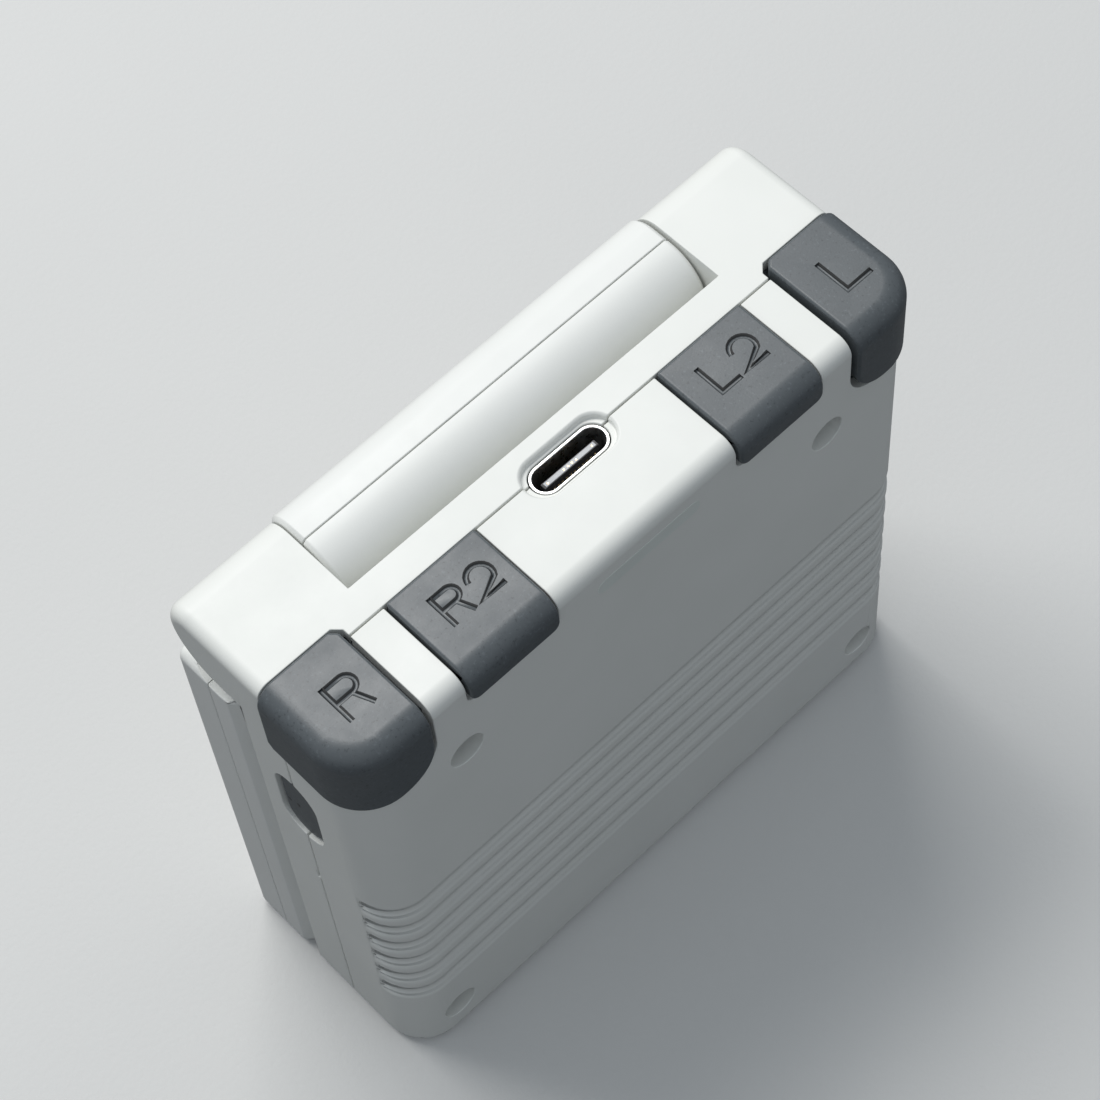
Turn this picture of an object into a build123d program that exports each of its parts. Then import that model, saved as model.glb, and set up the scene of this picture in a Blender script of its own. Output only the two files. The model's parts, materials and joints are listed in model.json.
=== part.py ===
"""
Clamshell handheld game console, folded shut and standing on its front edge.

X runs across the case, from the R side (minus) to the L side (plus), as held by a player.
Y runs through its thickness, from the back cover (minus) to the outside of the lid (plus).
Z runs up from the front edge that it stands on to the hinge edge, with the origin under the middle.
All lengths are in millimetres and all angles in degrees.
"""

from build123d import *
import math
import os

os.makedirs("parts", exist_ok=True)

# ---- Case, folded shut ---------------------------------------------------------
case_w = 71.0  # side to side
case_h = 67.5  # front edge to hinge edge
base_t = 16.3  # back cover to control face
rear_t = 10.6  # depth of the rear shell, which ends at the seam
lid_gap = 1.1  # air between the control face and the screen bezel
lid_t = 8.2  # screen bezel to the outside of the lid
wall = 1.5  # moulded wall of the rear and front shells
corner_r = 4.8  # upright corners of the back cover
top_roll = 1.8  # back cover rolled over into the hinge edge
foot_bevel = 1.0  # bevel of the back cover and the sides at the front edge
rim_bevel = 0.4  # bevel round the control face
inside_r = 0.3  # least radius inside a moulded corner

# ---- Hinge ----------------------------------------------------------------------
hinge_drop = 4.85  # hinge axis below the hinge edge
hinge_inset = 2.6  # hinge axis inside the lid, from its bezel
knuckle_w = 12.5  # each knuckle, along the hinge edge
barrel_corner_r = 3.2  # barrel's corner between the hinge edge and the lid's outside
barrel_bevel = 0.4
barrel_gap = 0.25  # between barrel and knuckle, at each end
swing_gap = 0.34  # round whatever turns with the lid
recess_lip = 2.2  # recess's back edge, behind the control face
knuckle_inset = 0.4  # knuckle's nose, short of the outside of the lid
knuckle_corner_r = 3.2
knuckle_belly_r = 5.9  # knuckle's underside, swept back to the control face
knuckle_roll = 1.4  # knuckle's outer edge
pin_r = 1.5
pin_slip = 0.04  # running fit of the pin and the shaft
pin_seat = 0.02  # pin in the barrel, cartridge in the knuckle
pin_in_barrel = 5.0
pin_in_knuckle = 7.0
cartridge_r = 2.7
cartridge_l = 10.0
cartridge_gap = 0.1  # cartridge's end behind the knuckle's face
shaft_socket = 3.0  # shaft's length inside the cartridge

# ---- Lid ------------------------------------------------------------------------
lid_drop = 10.0  # top of the lid's plate below the hinge edge
lid_corner_r = 1.2
lid_edge_r = 0.9  # outer rim
lid_inner_bevel = 1.0  # round the bezel
cover_t = 4.4  # outside of the lid to its seam
barrel_cover_t = 5.0  # the same along the barrel
lid_wall = 1.4
bezel_t = 2.0  # bezel's plate round the screen
lens_side = 5.5  # lens's sides, inside the lid's
lens_top = 6.5  # lens's upper edge below the top of the lid's plate
lens_t = 0.9
lens_r = 2.0
lens_sink = 0.5  # lens below the bezel
lens_low = 5.0  # lens's lower edge above the front edge
fit_gap = 0.1  # round pieces glued or dropped into a seat
view_inset = 2.0  # picture of the display, inside the lens
panel_inset = 0.5  # panel, inside the lens
panel_t = 2.2
bumper_w = 2.4
bumper_l = 6.0
bumper_stand = 0.8  # bumper above the bezel
bumper_sink = 0.7
bumper_side = 3.3  # bumper's middle, inside the lid's side
bumper_low = 8.0
bumper_top = 8.5  # upper bumpers below the top of the lid's plate
stud_w = 2.6  # studs inside the cover, behind the bumpers
rib_t = 0.8

# ---- Shoulder buttons --------------------------------------------------------------
shoulder_proud = 0.5  # above the case
shoulder_wall = 1.4
shoulder_gap = 0.25  # round each button
corner_gap = 0.55  # beside a corner button's inner edge
shoulder_travel = 0.5
shoulder_lap = 0.1  # left under a button that is pressed home
corner_w = 8.9  # corner button's inner edge, inside the case's side
corner_low = 9.1  # its lower edge below the hinge edge
corner_over = 1.3  # how far it reaches past the seam
corner_button_r = 3.75  # its lower inner corner on the back
corner_bevel = 0.7  # its corners at the seam side
corner_room_bevel = 0.8  # the same corners of its opening
middle_in = 18.9  # middle of L2 and of R2, inside the case's sides
middle_w = 10.6
middle_low = 3.6
middle_short = 0.2  # from its edge to the seam
middle_button_r = 1.0
button_bevel = 0.3
flange_t = 0.8
flange_lap = 1.1  # flange under the case's wall
flange_gap = 0.1
stem_w = 2.2
corner_stem_in = 5.0  # corner button's stem, inside the case's side
stem_depth = 2.1  # stem's axis behind the seam
switch_w = 3.6
switch_d = 2.1
switch_h = 3.4
plunger_w = 1.4
plunger_h = 0.5

# ---- Side buttons -------------------------------------------------------------------
side_drop = 21.75  # middle of both below the hinge edge, on the seam
power_w = 5.3
power_l = 10.6
power_sink = 0.3  # below the case's side
power_travel = 0.5
side_gap = 0.2
side_flange = 0.9
volume_w = 3.2
volume_l = 14.0
volume_flange_gap = 0.4

# ---- Control face ----------------------------------------------------------------------
control_drop = 30.5  # cross pad and round buttons below the hinge edge
pad_in = 15.0  # cross pad inside the L side
pad_span = 18.0
pad_arm = 6.2
pad_proud = 0.6
pad_tilt = 3.5
pad_flange_r = 10.2
pad_flange_t = 0.8
pad_flange_drop = 0.95  # flange below the face's underside, room to tilt
pad_gap = 0.35
pivot_w = 2.4  # square seat that the pad rocks on
pivot_t = 1.4
pivot_sink = 0.5  # its middle above the pad's underside
pivot_gap = 0.12
round_in = 15.0  # round buttons inside the R side
round_ring = 6.2  # round buttons from the middle of their four
round_r = 3.0
round_proud = 0.7
round_travel = 0.6
round_gap = 0.2
round_flange = 0.7  # ears beyond the button
ear_w = 1.8
key_flange_t = 0.8
small_x = 6.0
small_z = 14.0
small_w = 6.0
small_h = 2.4
small_proud = 0.4
menu_drop = 18.5  # menu button below the hinge edge
menu_r = 2.0
mat_t = 0.7
mat_edge = 2.5  # mat beyond its outermost keys
dome_gap = 0.1  # dome below a key that is pressed home
dome_taper = 12.0

# ---- USB-C socket ----------------------------------------------------------------------
usb_w = 8.94
usb_h = 3.26
usb_wall = 0.3
usb_l = 7.35
usb_sink = 0.8  # metal rim below the hinge edge
usb_gap = 0.12
usb_rim_w = 10.9  # recess round the socket
usb_rim_h = 4.7
usb_rim_sink = 0.7
usb_lip = 0.25  # bevel of that recess
tongue_w = 6.69
tongue_t = 0.7
tongue_l = 4.45
tongue_back = 2.0

# ---- Memory card socket, board, battery, speaker ----------------------------------------
board_t = 1.0
board_inset = 4.0  # board inside the case's sides
board_low = 3.0
board_drop = 11.2  # its top below the hinge edge
board_tab_inset = 10.0  # the same of its tab
board_tab_drop = 6.0
battery_inset = 16.5  # battery inside the case's sides
battery_drop = 18.5  # its top below the hinge edge
battery_t = 5.4
battery_low = 9.0
battery_rib_h = 3.0
card_x = 14.0
card_w = 13.0
card_t = 1.6
card_l = 15.0
card_slot_w = 11.4
card_slot_t = 1.1
can_x = -7.0
can_drop = 13.5  # shield can below the hinge edge
can_w = 15.0
can_h = 8.0
can_t = 1.4
speaker_outer = 9.5  # speaker inside the R side
speaker_inner = 12.0  # its other end, from the middle
speaker_z = 10.5
speaker_h = 9.0
speaker_t = 3.2
speaker_slots = 5
speaker_slot_w = 1.0
speaker_slot_l = 6.0
speaker_pitch = 2.0

# ---- Case screws ---------------------------------------------------------------------------
screw_top_in = 12.4  # inside the case's sides
screw_top_drop = 11.95  # below the hinge edge
screw_low_in = 6.0
screw_low_z = 5.2
recess_r = 2.2  # recess of each screw in the back cover
screw_seat = 3.8  # depth of that recess
head_r = 1.9
head_t = 1.3
shank_r = 0.95
shank_sides = 6  # plain shanks, whose threads are left out
shank_slip = 0.1
shank_l = 9.2
post_w = 6.0  # square posts of the rear shell
boss_w = 3.6  # square bosses of the front shell, which pass beside the board to the posts
boss_gap = 0.15

# ---- Grip grooves ------------------------------------------------------------------------------
groove_mouth = 1.8
groove_floor = 1.0
groove_depth = 0.45
groove_count = 6
groove_pitch = 4.0
groove_low = 13.75  # lowest groove above the front edge
groove_wrap = 4.4  # how far the grooves come round each side
pry_low = 29.9  # pry notch in the R side's seam
pry_l = 1.6
pry_w = 0.3
pry_depth = 0.6

# ---- Places that follow from the sizes ---------------------------------------------------------
thickness = base_t + lid_gap + lid_t
back_y = shoulder_proud - (thickness + shoulder_proud) / 2
seam_y = back_y + rear_t
face_y = back_y + base_t
bezel_y = face_y + lid_gap
cover_y = bezel_y + lid_t
side_x = case_w / 2
hinge_y = bezel_y + hinge_inset
hinge_z = case_h - hinge_drop
plate_top = case_h - lid_drop
recess_half = side_x - knuckle_w
barrel_half = recess_half - barrel_gap
lens_w = case_w - 2 * lens_side
lens_h = plate_top - lens_top - lens_low
view_w = lens_w - 2 * view_inset
view_h = lens_h - 2 * view_inset
panel_w = lens_w - 2 * panel_inset
panel_h = lens_h - 2 * panel_inset
bumper_x = side_x - bumper_side
bumper_high = plate_top - bumper_top
corner_in = side_x - corner_w
corner_stem_x = side_x - corner_stem_in
middle_x = side_x - middle_in
side_z = case_h - side_drop
control_z = case_h - control_drop
pad_x = side_x - pad_in
round_x = side_x - round_in
menu_z = case_h - menu_drop
board_w = case_w - 2 * board_inset
board_high = case_h - board_drop
board_tab_w = case_w - 2 * board_tab_inset
board_tab_high = case_h - board_tab_drop
battery_w = case_w - 2 * battery_inset
battery_h = case_h - battery_drop - battery_low
can_z = case_h - can_drop
speaker_w = side_x - speaker_outer - speaker_inner
speaker_x = -speaker_inner - speaker_w / 2
screw_top_x = side_x - screw_top_in
screw_low_x = side_x - screw_low_in
board_back = seam_y - board_t
under_face = face_y - wall
usb_y = seam_y - board_t / 2
nose_y = cover_y - knuckle_inset
barrel_swing = math.hypot(cover_y - barrel_corner_r - hinge_y, hinge_drop - barrel_corner_r) + barrel_corner_r
knuckle_swing = math.hypot(nose_y - knuckle_corner_r - hinge_y, hinge_drop - knuckle_corner_r) + knuckle_corner_r
recess_swing = barrel_swing + swing_gap
trough_r = knuckle_swing + swing_gap
lip_y = face_y - recess_lip
beyond = case_w  # long enough to pass right through the case
seat_y = back_y + screw_seat
screws = [
    (-screw_top_x, case_h - screw_top_drop),
    (screw_top_x, case_h - screw_top_drop),
    (-screw_low_x, screw_low_z),
    (screw_low_x, screw_low_z),
]
round_keys = {
    "a_button": (-round_x - round_ring, control_z),
    "b_button": (-round_x, control_z - round_ring),
    "x_button": (-round_x, control_z + round_ring),
    "y_button": (-round_x + round_ring, control_z),
}
small_keys = {"start_button": (-small_x, small_z), "select_button": (small_x, small_z)}


def upright(y):
    """Plane facing the back cover at depth y, drawn in X and Z. Extruding by minus goes to the lid."""
    return Plane.XZ.offset(-y)


def save(part, name):
    part.label = name
    export_step(part, f"parts/{name}.step")


def base_form(grow, front):
    """The lower half's form up to depth front, grown on its back, sides, top and foot.

    Outside, the back rolls over into the hinge edge and is bevelled at the front edge. Inside, both are square.
    """
    with BuildPart() as form:
        with BuildSketch(Plane.XY.offset(-grow)) as outline:
            with Locations((0, (back_y - grow + front) / 2)):
                Rectangle(case_w + 2 * grow, front - back_y + grow)
            fillet(outline.vertices().group_by(Axis.Y)[0], corner_r + grow)
        extrude(amount=case_h + 2 * grow)
        if grow >= 0:
            top = form.faces().sort_by(Axis.Z)[-1].edges().sort_by(Axis.Y)[:-1]
            fillet(top, top_roll + grow)
            foot = form.faces().sort_by(Axis.Z)[0].edges().sort_by(Axis.Y)[:-1]
            chamfer(foot, foot_bevel)
    return form.part


def corner_zone(side, inner_gap, gap, low_gap, bevel):
    """Room of a corner button on one side, with a gap at its inner edge, its other edges and below it."""
    inner = corner_in - inner_gap
    low = case_h - corner_low - low_gap
    with BuildPart() as zone:
        with BuildSketch(upright(seam_y + corner_over + gap)) as outline:
            with Locations((inner, low)):
                Rectangle(beyond, beyond, align=(Align.MIN, Align.MIN))
            fillet(outline.vertices().group_by(Axis.X)[0].sort_by(Axis.Y)[0], corner_button_r + gap)
        extrude(amount=beyond)
        if bevel:
            chamfer(zone.faces().sort_by(Axis.Y)[-1].edges().sort_by(Axis.X)[0], bevel)
        if side < 0:
            mirror(about=Plane.YZ, mode=Mode.REPLACE)
    return zone.part


def middle_zone(side, gap, low_gap):
    """Room of L2 or R2, which ends at the seam."""
    low = case_h - middle_low - low_gap
    with BuildPart() as zone:
        with BuildSketch(upright(seam_y - middle_short + min(gap, middle_short))) as outline:
            with Locations((side * middle_x, low)):
                Rectangle(middle_w + 2 * gap, beyond, align=(Align.CENTER, Align.MIN))
            fillet(outline.vertices().group_by(Axis.Y)[0], max(middle_button_r + gap, inside_r))
        extrude(amount=beyond)
    return zone.part


def side_slot(side, width, length):
    """Rounded slot through one side of the case, on the seam."""
    with BuildPart() as slot:
        with BuildSketch(Plane.YZ):
            with Locations((seam_y, side_z)):
                SlotOverall(length, width, rotation=90)
        extrude(amount=side * beyond)
    return slot.part


def usb_opening():
    """Opening for the socket, with the bevelled recess round its rim."""
    with BuildPart() as opening:
        with BuildSketch(Plane.XY.offset(case_h - wall - usb_l)):
            with Locations((0, usb_y)):
                SlotOverall(usb_w + 2 * usb_gap, usb_h + 2 * usb_gap)
        extrude(amount=beyond)
        with BuildSketch(Plane.XY.offset(case_h - usb_rim_sink)):
            with Locations((0, usb_y)):
                SlotOverall(usb_rim_w - 2 * usb_lip, usb_rim_h - 2 * usb_lip)
        extrude(amount=beyond)
        with BuildSketch(Plane.XY.offset(case_h)):
            with Locations((0, usb_y)):
                SlotOverall(usb_rim_w, usb_rim_h)
        extrude(amount=-usb_lip, taper=45)
    return opening.part


def case_openings():
    """What is cut through both shells along the seam."""
    low_gap = shoulder_travel + shoulder_lap
    with BuildPart() as openings:
        for side in (-1, 1):
            add(corner_zone(side, corner_gap, shoulder_gap, low_gap, corner_room_bevel))
            add(middle_zone(side, shoulder_gap, low_gap))
        add(side_slot(-1, power_w + 2 * side_gap, power_l + 2 * side_gap))
        add(side_slot(1, volume_w + 2 * side_gap, volume_l + 2 * side_gap))
        add(usb_opening())
    return openings.part


def groove():
    """One grip groove at height zero: a tapered channel across the back and round both corners."""
    bend = corner_r
    short = math.degrees(math.asin((corner_r - groove_wrap) / bend))
    centre_x = side_x - corner_r
    centre_y = back_y + corner_r
    with BuildPart() as channel:
        with BuildLine() as path:
            CenterArc((-centre_x, centre_y), bend, 180 + short, 90 - short)
            Line((-centre_x, back_y), (centre_x, back_y))
            CenterArc((centre_x, centre_y), bend, -90, 90 - short)
        with BuildSketch(Plane(origin=path.line @ 0, x_dir=(0, 0, 1), z_dir=path.line % 0)):
            with BuildLine():
                Polyline(
                    (-groove_mouth / 2, 0),
                    (-groove_floor / 2, groove_depth),
                    (groove_floor / 2, groove_depth),
                    (groove_mouth / 2, 0),
                    (groove_mouth / 2, -groove_depth),
                    (-groove_mouth / 2, -groove_depth),
                    close=True,
                )
            make_face()
        sweep()
    return channel.part


# ---- Rear shell ---------------------------------------------------------------------------------
grip_groove = groove()
groove_rows = [(0, 0, groove_low + row * groove_pitch) for row in range(groove_count)]

with BuildPart() as rear_shell:
    add(base_form(0, seam_y))
    add(base_form(-wall, seam_y + wall), mode=Mode.SUBTRACT)
    # Posts from the back wall carry the board
    with BuildSketch(upright(back_y + wall / 2)):
        with Locations(*screws):
            Rectangle(post_w, post_w)
    extrude(amount=-(board_back - back_y - wall / 2))
    # Ribs hold the battery
    with BuildSketch(upright(back_y + wall)):
        with Locations((0, battery_low + battery_h / 2)):
            Rectangle(battery_w + 2 * (fit_gap + rib_t), battery_h + 2 * (fit_gap + rib_t))
            Rectangle(battery_w + 2 * fit_gap, battery_h + 2 * fit_gap, mode=Mode.SUBTRACT)
    extrude(amount=-battery_rib_h)
    # Screw recesses
    with BuildSketch(upright(back_y)):
        with Locations(*screws):
            Circle(recess_r)
    extrude(amount=-screw_seat, mode=Mode.SUBTRACT)
    with BuildSketch(upright(back_y)):
        with Locations(*screws):
            RegularPolygon(shank_r + shank_slip, shank_sides)
    extrude(amount=-rear_t, mode=Mode.SUBTRACT)
    # Grip grooves
    with Locations(*groove_rows):
        add(grip_groove, mode=Mode.SUBTRACT)
    # Slot for a memory card, in the front edge
    with BuildSketch(Plane.XY):
        with Locations((card_x, board_back - card_t / 2)):
            Rectangle(card_slot_w, card_slot_t)
    extrude(amount=card_l / 2, mode=Mode.SUBTRACT)
    add(case_openings(), mode=Mode.SUBTRACT)
save(rear_shell.part, "rear_shell")


def knuckle(side):
    """One hinge knuckle: a flat top, a tight nose and an underside swept back to the control face."""
    nose_z = case_h - knuckle_corner_r
    belly_z = nose_z - knuckle_belly_r
    corner = knuckle_corner_r * math.sqrt(0.5)
    belly = knuckle_belly_r * math.sqrt(0.5)
    with BuildPart() as lug:
        with BuildSketch(Plane.YZ.offset(recess_half)):
            with BuildLine():
                top_end = (nose_y - knuckle_corner_r, case_h)
                nose = (nose_y, nose_z)
                belly_end = (nose_y - knuckle_belly_r, belly_z)
                Line((under_face, case_h), top_end)
                ThreePointArc(top_end, (nose_y - knuckle_corner_r + corner, nose_z + corner), nose)
                ThreePointArc(nose, (nose_y - knuckle_belly_r + belly, nose_z - belly), belly_end)
                Line(belly_end, (under_face, belly_z))
                Line((under_face, belly_z), (under_face, case_h))
            make_face()
        extrude(amount=side_x - recess_half)
        outer = lug.faces().sort_by(Axis.X)[-1].edges().sort_by(Axis.Y)[1:]
        fillet(outer, knuckle_roll)
        if side < 0:
            mirror(about=Plane.YZ, mode=Mode.REPLACE)
    return lug.part


def barrel_room(radius, lip, half):
    """Swept room of the barrel round the hinge axis, opened straight up to the hinge edge."""
    with BuildPart() as room:
        with BuildSketch(Plane.YZ.offset(-half)):
            with Locations((hinge_y, hinge_z)):
                Circle(radius)
            with Locations((lip, hinge_z)):
                Rectangle(hinge_y - lip, beyond, align=(Align.MIN, Align.MIN))
        extrude(amount=2 * half)
    return room.part


def base_cavity():
    """Hollow of the front shell, which leaves a wall round the barrel's recess."""
    with BuildPart() as cavity:
        add(base_form(-wall, under_face))
        add(barrel_room(recess_swing + wall, lip_y - wall, recess_half + wall), mode=Mode.SUBTRACT)
    return cavity.part


# ---- Front shell ---------------------------------------------------------------------------------
with BuildPart() as front_shell:
    with BuildSketch(upright(seam_y)) as outline:
        Rectangle(case_w, case_h, align=(Align.CENTER, Align.MIN))
        chamfer(outline.vertices().group_by(Axis.Y)[0], foot_bevel)
        fillet(outline.vertices().group_by(Axis.Y)[-1], knuckle_roll)
    extrude(amount=-(face_y - seam_y))
    chamfer(front_shell.faces().sort_by(Axis.Y)[-1].edges(), rim_bevel)
    add(base_cavity(), mode=Mode.SUBTRACT)
    for side in (-1, 1):
        add(knuckle(side))
    add(barrel_room(recess_swing, lip_y, recess_half), mode=Mode.SUBTRACT)
    # Plain pin's bore in the L knuckle, cartridge's bore in the R knuckle
    with BuildSketch(Plane.YZ.offset(recess_half)):
        with Locations((hinge_y, hinge_z)):
            Circle(pin_r + pin_slip)
    extrude(amount=pin_in_knuckle + cartridge_gap, mode=Mode.SUBTRACT)
    with BuildSketch(Plane.YZ.offset(-recess_half)):
        with Locations((hinge_y, hinge_z)):
            Circle(cartridge_r + pin_seat)
    extrude(amount=-(cartridge_l + cartridge_gap), mode=Mode.SUBTRACT)
    # Bosses that the case screws bite into
    with BuildSketch(upright(board_back)):
        with Locations(*screws):
            Rectangle(boss_w, boss_w)
    extrude(amount=-(under_face + wall / 2 - board_back))
    with BuildSketch(upright(board_back)):
        with Locations(*screws):
            RegularPolygon(shank_r + pin_seat, shank_sides)
    extrude(amount=-(seat_y + shank_l + fit_gap - board_back), mode=Mode.SUBTRACT)
    # Frame round the speaker
    with BuildSketch(upright(under_face + wall / 2)):
        with Locations((speaker_x, speaker_z)):
            Rectangle(speaker_w + 2 * (fit_gap + rib_t), speaker_h + 2 * (fit_gap + rib_t))
            Rectangle(speaker_w + 2 * fit_gap, speaker_h + 2 * fit_gap, mode=Mode.SUBTRACT)
    extrude(amount=speaker_t + wall / 2)
    # Openings in the control face
    with BuildSketch(upright(under_face)) as openings:
        with Locations((pad_x, control_z)):
            Rectangle(pad_span + 2 * pad_gap, pad_arm + 2 * pad_gap)
            Rectangle(pad_arm + 2 * pad_gap, pad_span + 2 * pad_gap)
        with Locations(*round_keys.values()):
            Circle(round_r + round_gap)
        with Locations(*small_keys.values()):
            SlotOverall(small_w + 2 * round_gap, small_h + 2 * round_gap)
        with Locations((0, menu_z)):
            Circle(menu_r + round_gap)
        with Locations((speaker_x, speaker_z)):
            with GridLocations(speaker_pitch, 0, speaker_slots, 1):
                Rectangle(speaker_slot_w, speaker_slot_l)
    extrude(amount=-beyond, mode=Mode.SUBTRACT)
    # Pry notch in the R side's seam
    with BuildSketch(Plane.YZ.offset(-side_x)):
        with Locations((seam_y, pry_low)):
            Rectangle(pry_w, pry_l, align=(Align.MIN, Align.MIN))
    extrude(amount=pry_depth, mode=Mode.SUBTRACT)
    add(case_openings(), mode=Mode.SUBTRACT)
save(front_shell.part, "front_shell")


# ---- Lid ----------------------------------------------------------------------------------------
def lid_plate():
    """Lid's flat part, rounded at its outer rim and bevelled round the bezel."""
    with BuildPart() as plate:
        with BuildSketch(upright(bezel_y)) as outline:
            Rectangle(case_w, plate_top, align=(Align.CENTER, Align.MIN))
            fillet(outline.vertices(), lid_corner_r)
        extrude(amount=-lid_t)
        fillet(plate.faces().sort_by(Axis.Y)[-1].edges(), lid_edge_r)
        chamfer(plate.faces().sort_by(Axis.Y)[0].edges(), lid_inner_bevel)
    return plate.part


def lid_barrel():
    """Barrel between the knuckles: half round behind the hinge axis, squared to the lid in front."""
    low = plate_top - lid_corner_r - lid_inner_bevel
    drop = math.sqrt(hinge_drop**2 - hinge_inset**2)
    corner = barrel_corner_r * math.sqrt(0.5)
    with BuildPart() as barrel:
        with BuildSketch(Plane.YZ.offset(-barrel_half)):
            with BuildLine():
                nose = (cover_y, case_h - barrel_corner_r)
                top_end = (cover_y - barrel_corner_r, case_h)
                bend = (cover_y - barrel_corner_r + corner, case_h - barrel_corner_r + corner)
                Line((bezel_y, low), (cover_y, low))
                Line((cover_y, low), nose)
                ThreePointArc(nose, bend, top_end)
                Line(top_end, (hinge_y, case_h))
                ThreePointArc((hinge_y, case_h), (hinge_y - hinge_drop, hinge_z), (bezel_y, hinge_z - drop))
                Line((bezel_y, hinge_z - drop), (bezel_y, low))
            make_face()
        extrude(amount=2 * barrel_half)
        ends = barrel.faces().sort_by(Axis.X)
        chamfer(ends[0].edges() + ends[-1].edges(), barrel_bevel)
    return barrel.part


def lid_form():
    """Whole lid before it is split at its seam, hollowed over the knuckles so that they clear it."""
    with BuildPart() as lid:
        add(lid_plate())
        add(lid_barrel())
        for side in (-1, 1):
            with BuildSketch(Plane.YZ.offset(side * barrel_half)):
                with Locations((hinge_y, hinge_z)):
                    Circle(trough_r)
            extrude(amount=side * beyond, mode=Mode.SUBTRACT)
        with BuildSketch(Plane.YZ.offset(-barrel_half)):
            with Locations((hinge_y, hinge_z)):
                Circle(pin_r + pin_seat)
        extrude(amount=pin_in_barrel + fit_gap, mode=Mode.SUBTRACT)
        with BuildSketch(Plane.YZ.offset(barrel_half)):
            with Locations((hinge_y, hinge_z)):
                Circle(pin_r + pin_seat)
        extrude(amount=-(pin_in_barrel + fit_gap), mode=Mode.SUBTRACT)
    return lid.part


def inner_half():
    """Space on the bezel's side of the lid's seam, which steps back along the barrel."""
    seam = cover_y - cover_t
    barrel_seam = cover_y - barrel_cover_t
    with BuildPart() as half:
        with BuildSketch(Plane.YZ.offset(-beyond)):
            with BuildLine():
                Polyline(
                    (back_y, -beyond),
                    (seam, -beyond),
                    (seam, plate_top),
                    (barrel_seam, plate_top),
                    (barrel_seam, 2 * beyond),
                    (back_y, 2 * beyond),
                    close=True,
                )
            make_face()
        extrude(amount=2 * beyond)
    return half.part


def lid_cavity():
    """Hollow of the lid, from the bezel's plate to the cover's wall."""
    top = hinge_z - trough_r - lid_wall
    with BuildPart() as cavity:
        with BuildSketch(upright(bezel_y + bezel_t)):
            with Locations((0, lid_wall)):
                Rectangle(case_w - 2 * lid_wall, top - lid_wall, align=(Align.CENTER, Align.MIN))
        extrude(amount=-(lid_t - bezel_t - lid_wall))
    return cavity.part


lens_z = lens_low + lens_h / 2
panel_y = bezel_y + bezel_t
bumpers = [(x, z) for x in (-bumper_x, bumper_x) for z in (bumper_low, bumper_high)]

with BuildPart() as lid_bezel:
    add(lid_form())
    add(inner_half(), mode=Mode.INTERSECT)
    add(lid_cavity(), mode=Mode.SUBTRACT)
    # Seat of the lens, with the picture's opening through its floor
    with BuildSketch(upright(bezel_y)):
        with Locations((0, lens_z)):
            RectangleRounded(lens_w + 2 * fit_gap, lens_h + 2 * fit_gap, lens_r + fit_gap)
    extrude(amount=-(lens_sink + lens_t), mode=Mode.SUBTRACT)
    with BuildSketch(upright(bezel_y)):
        with Locations((0, lens_z)):
            Rectangle(view_w, view_h)
    extrude(amount=-bezel_t, mode=Mode.SUBTRACT)
    # Seats of the bumpers
    with BuildSketch(upright(bezel_y)):
        with Locations(*bumpers):
            Rectangle(bumper_w + 2 * fit_gap, bumper_l + 2 * fit_gap)
    extrude(amount=-bumper_sink, mode=Mode.SUBTRACT)
save(lid_bezel.part, "lid_bezel")

with BuildPart() as lid_cover:
    add(lid_form())
    add(inner_half(), mode=Mode.SUBTRACT)
    add(lid_cavity(), mode=Mode.SUBTRACT)
    # Studs that the bezel is glued down on
    with BuildSketch(upright(panel_y + fit_gap)):
        with Locations(*bumpers):
            Rectangle(stud_w, stud_w)
    extrude(amount=-(cover_y - lid_wall / 2 - panel_y - fit_gap))
    # Ribs that keep the display panel in its place
    with BuildSketch(upright(cover_y - lid_wall)):
        with Locations((0, lens_z)):
            Rectangle(panel_w, panel_h)
            Rectangle(panel_w - 2 * rib_t, panel_h - 2 * rib_t, mode=Mode.SUBTRACT)
    extrude(amount=cover_y - lid_wall - panel_y - panel_t - fit_gap)
save(lid_cover.part, "lid_cover")

with BuildPart() as display_panel:
    with BuildSketch(upright(panel_y)):
        with Locations((0, lens_z)):
            Rectangle(panel_w, panel_h)
    extrude(amount=-panel_t)
save(display_panel.part, "display_panel")

with BuildPart() as screen_lens:
    with BuildSketch(upright(bezel_y + lens_sink)):
        with Locations((0, lens_z)):
            RectangleRounded(lens_w, lens_h, lens_r)
    extrude(amount=-lens_t)
save(screen_lens.part, "screen_lens")

with BuildPart() as lid_bumpers:
    with BuildSketch(upright(bezel_y - bumper_stand)):
        with Locations(*bumpers):
            Rectangle(bumper_w, bumper_l)
    extrude(amount=-(bumper_stand + bumper_sink))
    chamfer(lid_bumpers.faces().group_by(Axis.Y)[0].edges(), inside_r)
save(lid_bumpers.part, "lid_bumpers")

# ---- Hinge pieces --------------------------------------------------------------------------------
with BuildPart() as hinge_pin:
    with BuildSketch(Plane.YZ.offset(barrel_half - pin_in_barrel)):
        with Locations((hinge_y, hinge_z)):
            Circle(pin_r)
    extrude(amount=pin_in_barrel + barrel_gap + pin_in_knuckle)
save(hinge_pin.part, "hinge_pin")

with BuildPart() as hinge_cartridge:
    with BuildSketch(Plane.YZ.offset(-recess_half - cartridge_gap)):
        with Locations((hinge_y, hinge_z)):
            Circle(cartridge_r)
    extrude(amount=-cartridge_l)
    with BuildSketch(Plane.YZ.offset(-recess_half - cartridge_gap)):
        with Locations((hinge_y, hinge_z)):
            Circle(pin_r + pin_slip)
    extrude(amount=-(shaft_socket + fit_gap), mode=Mode.SUBTRACT)
save(hinge_cartridge.part, "hinge_cartridge")

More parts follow.
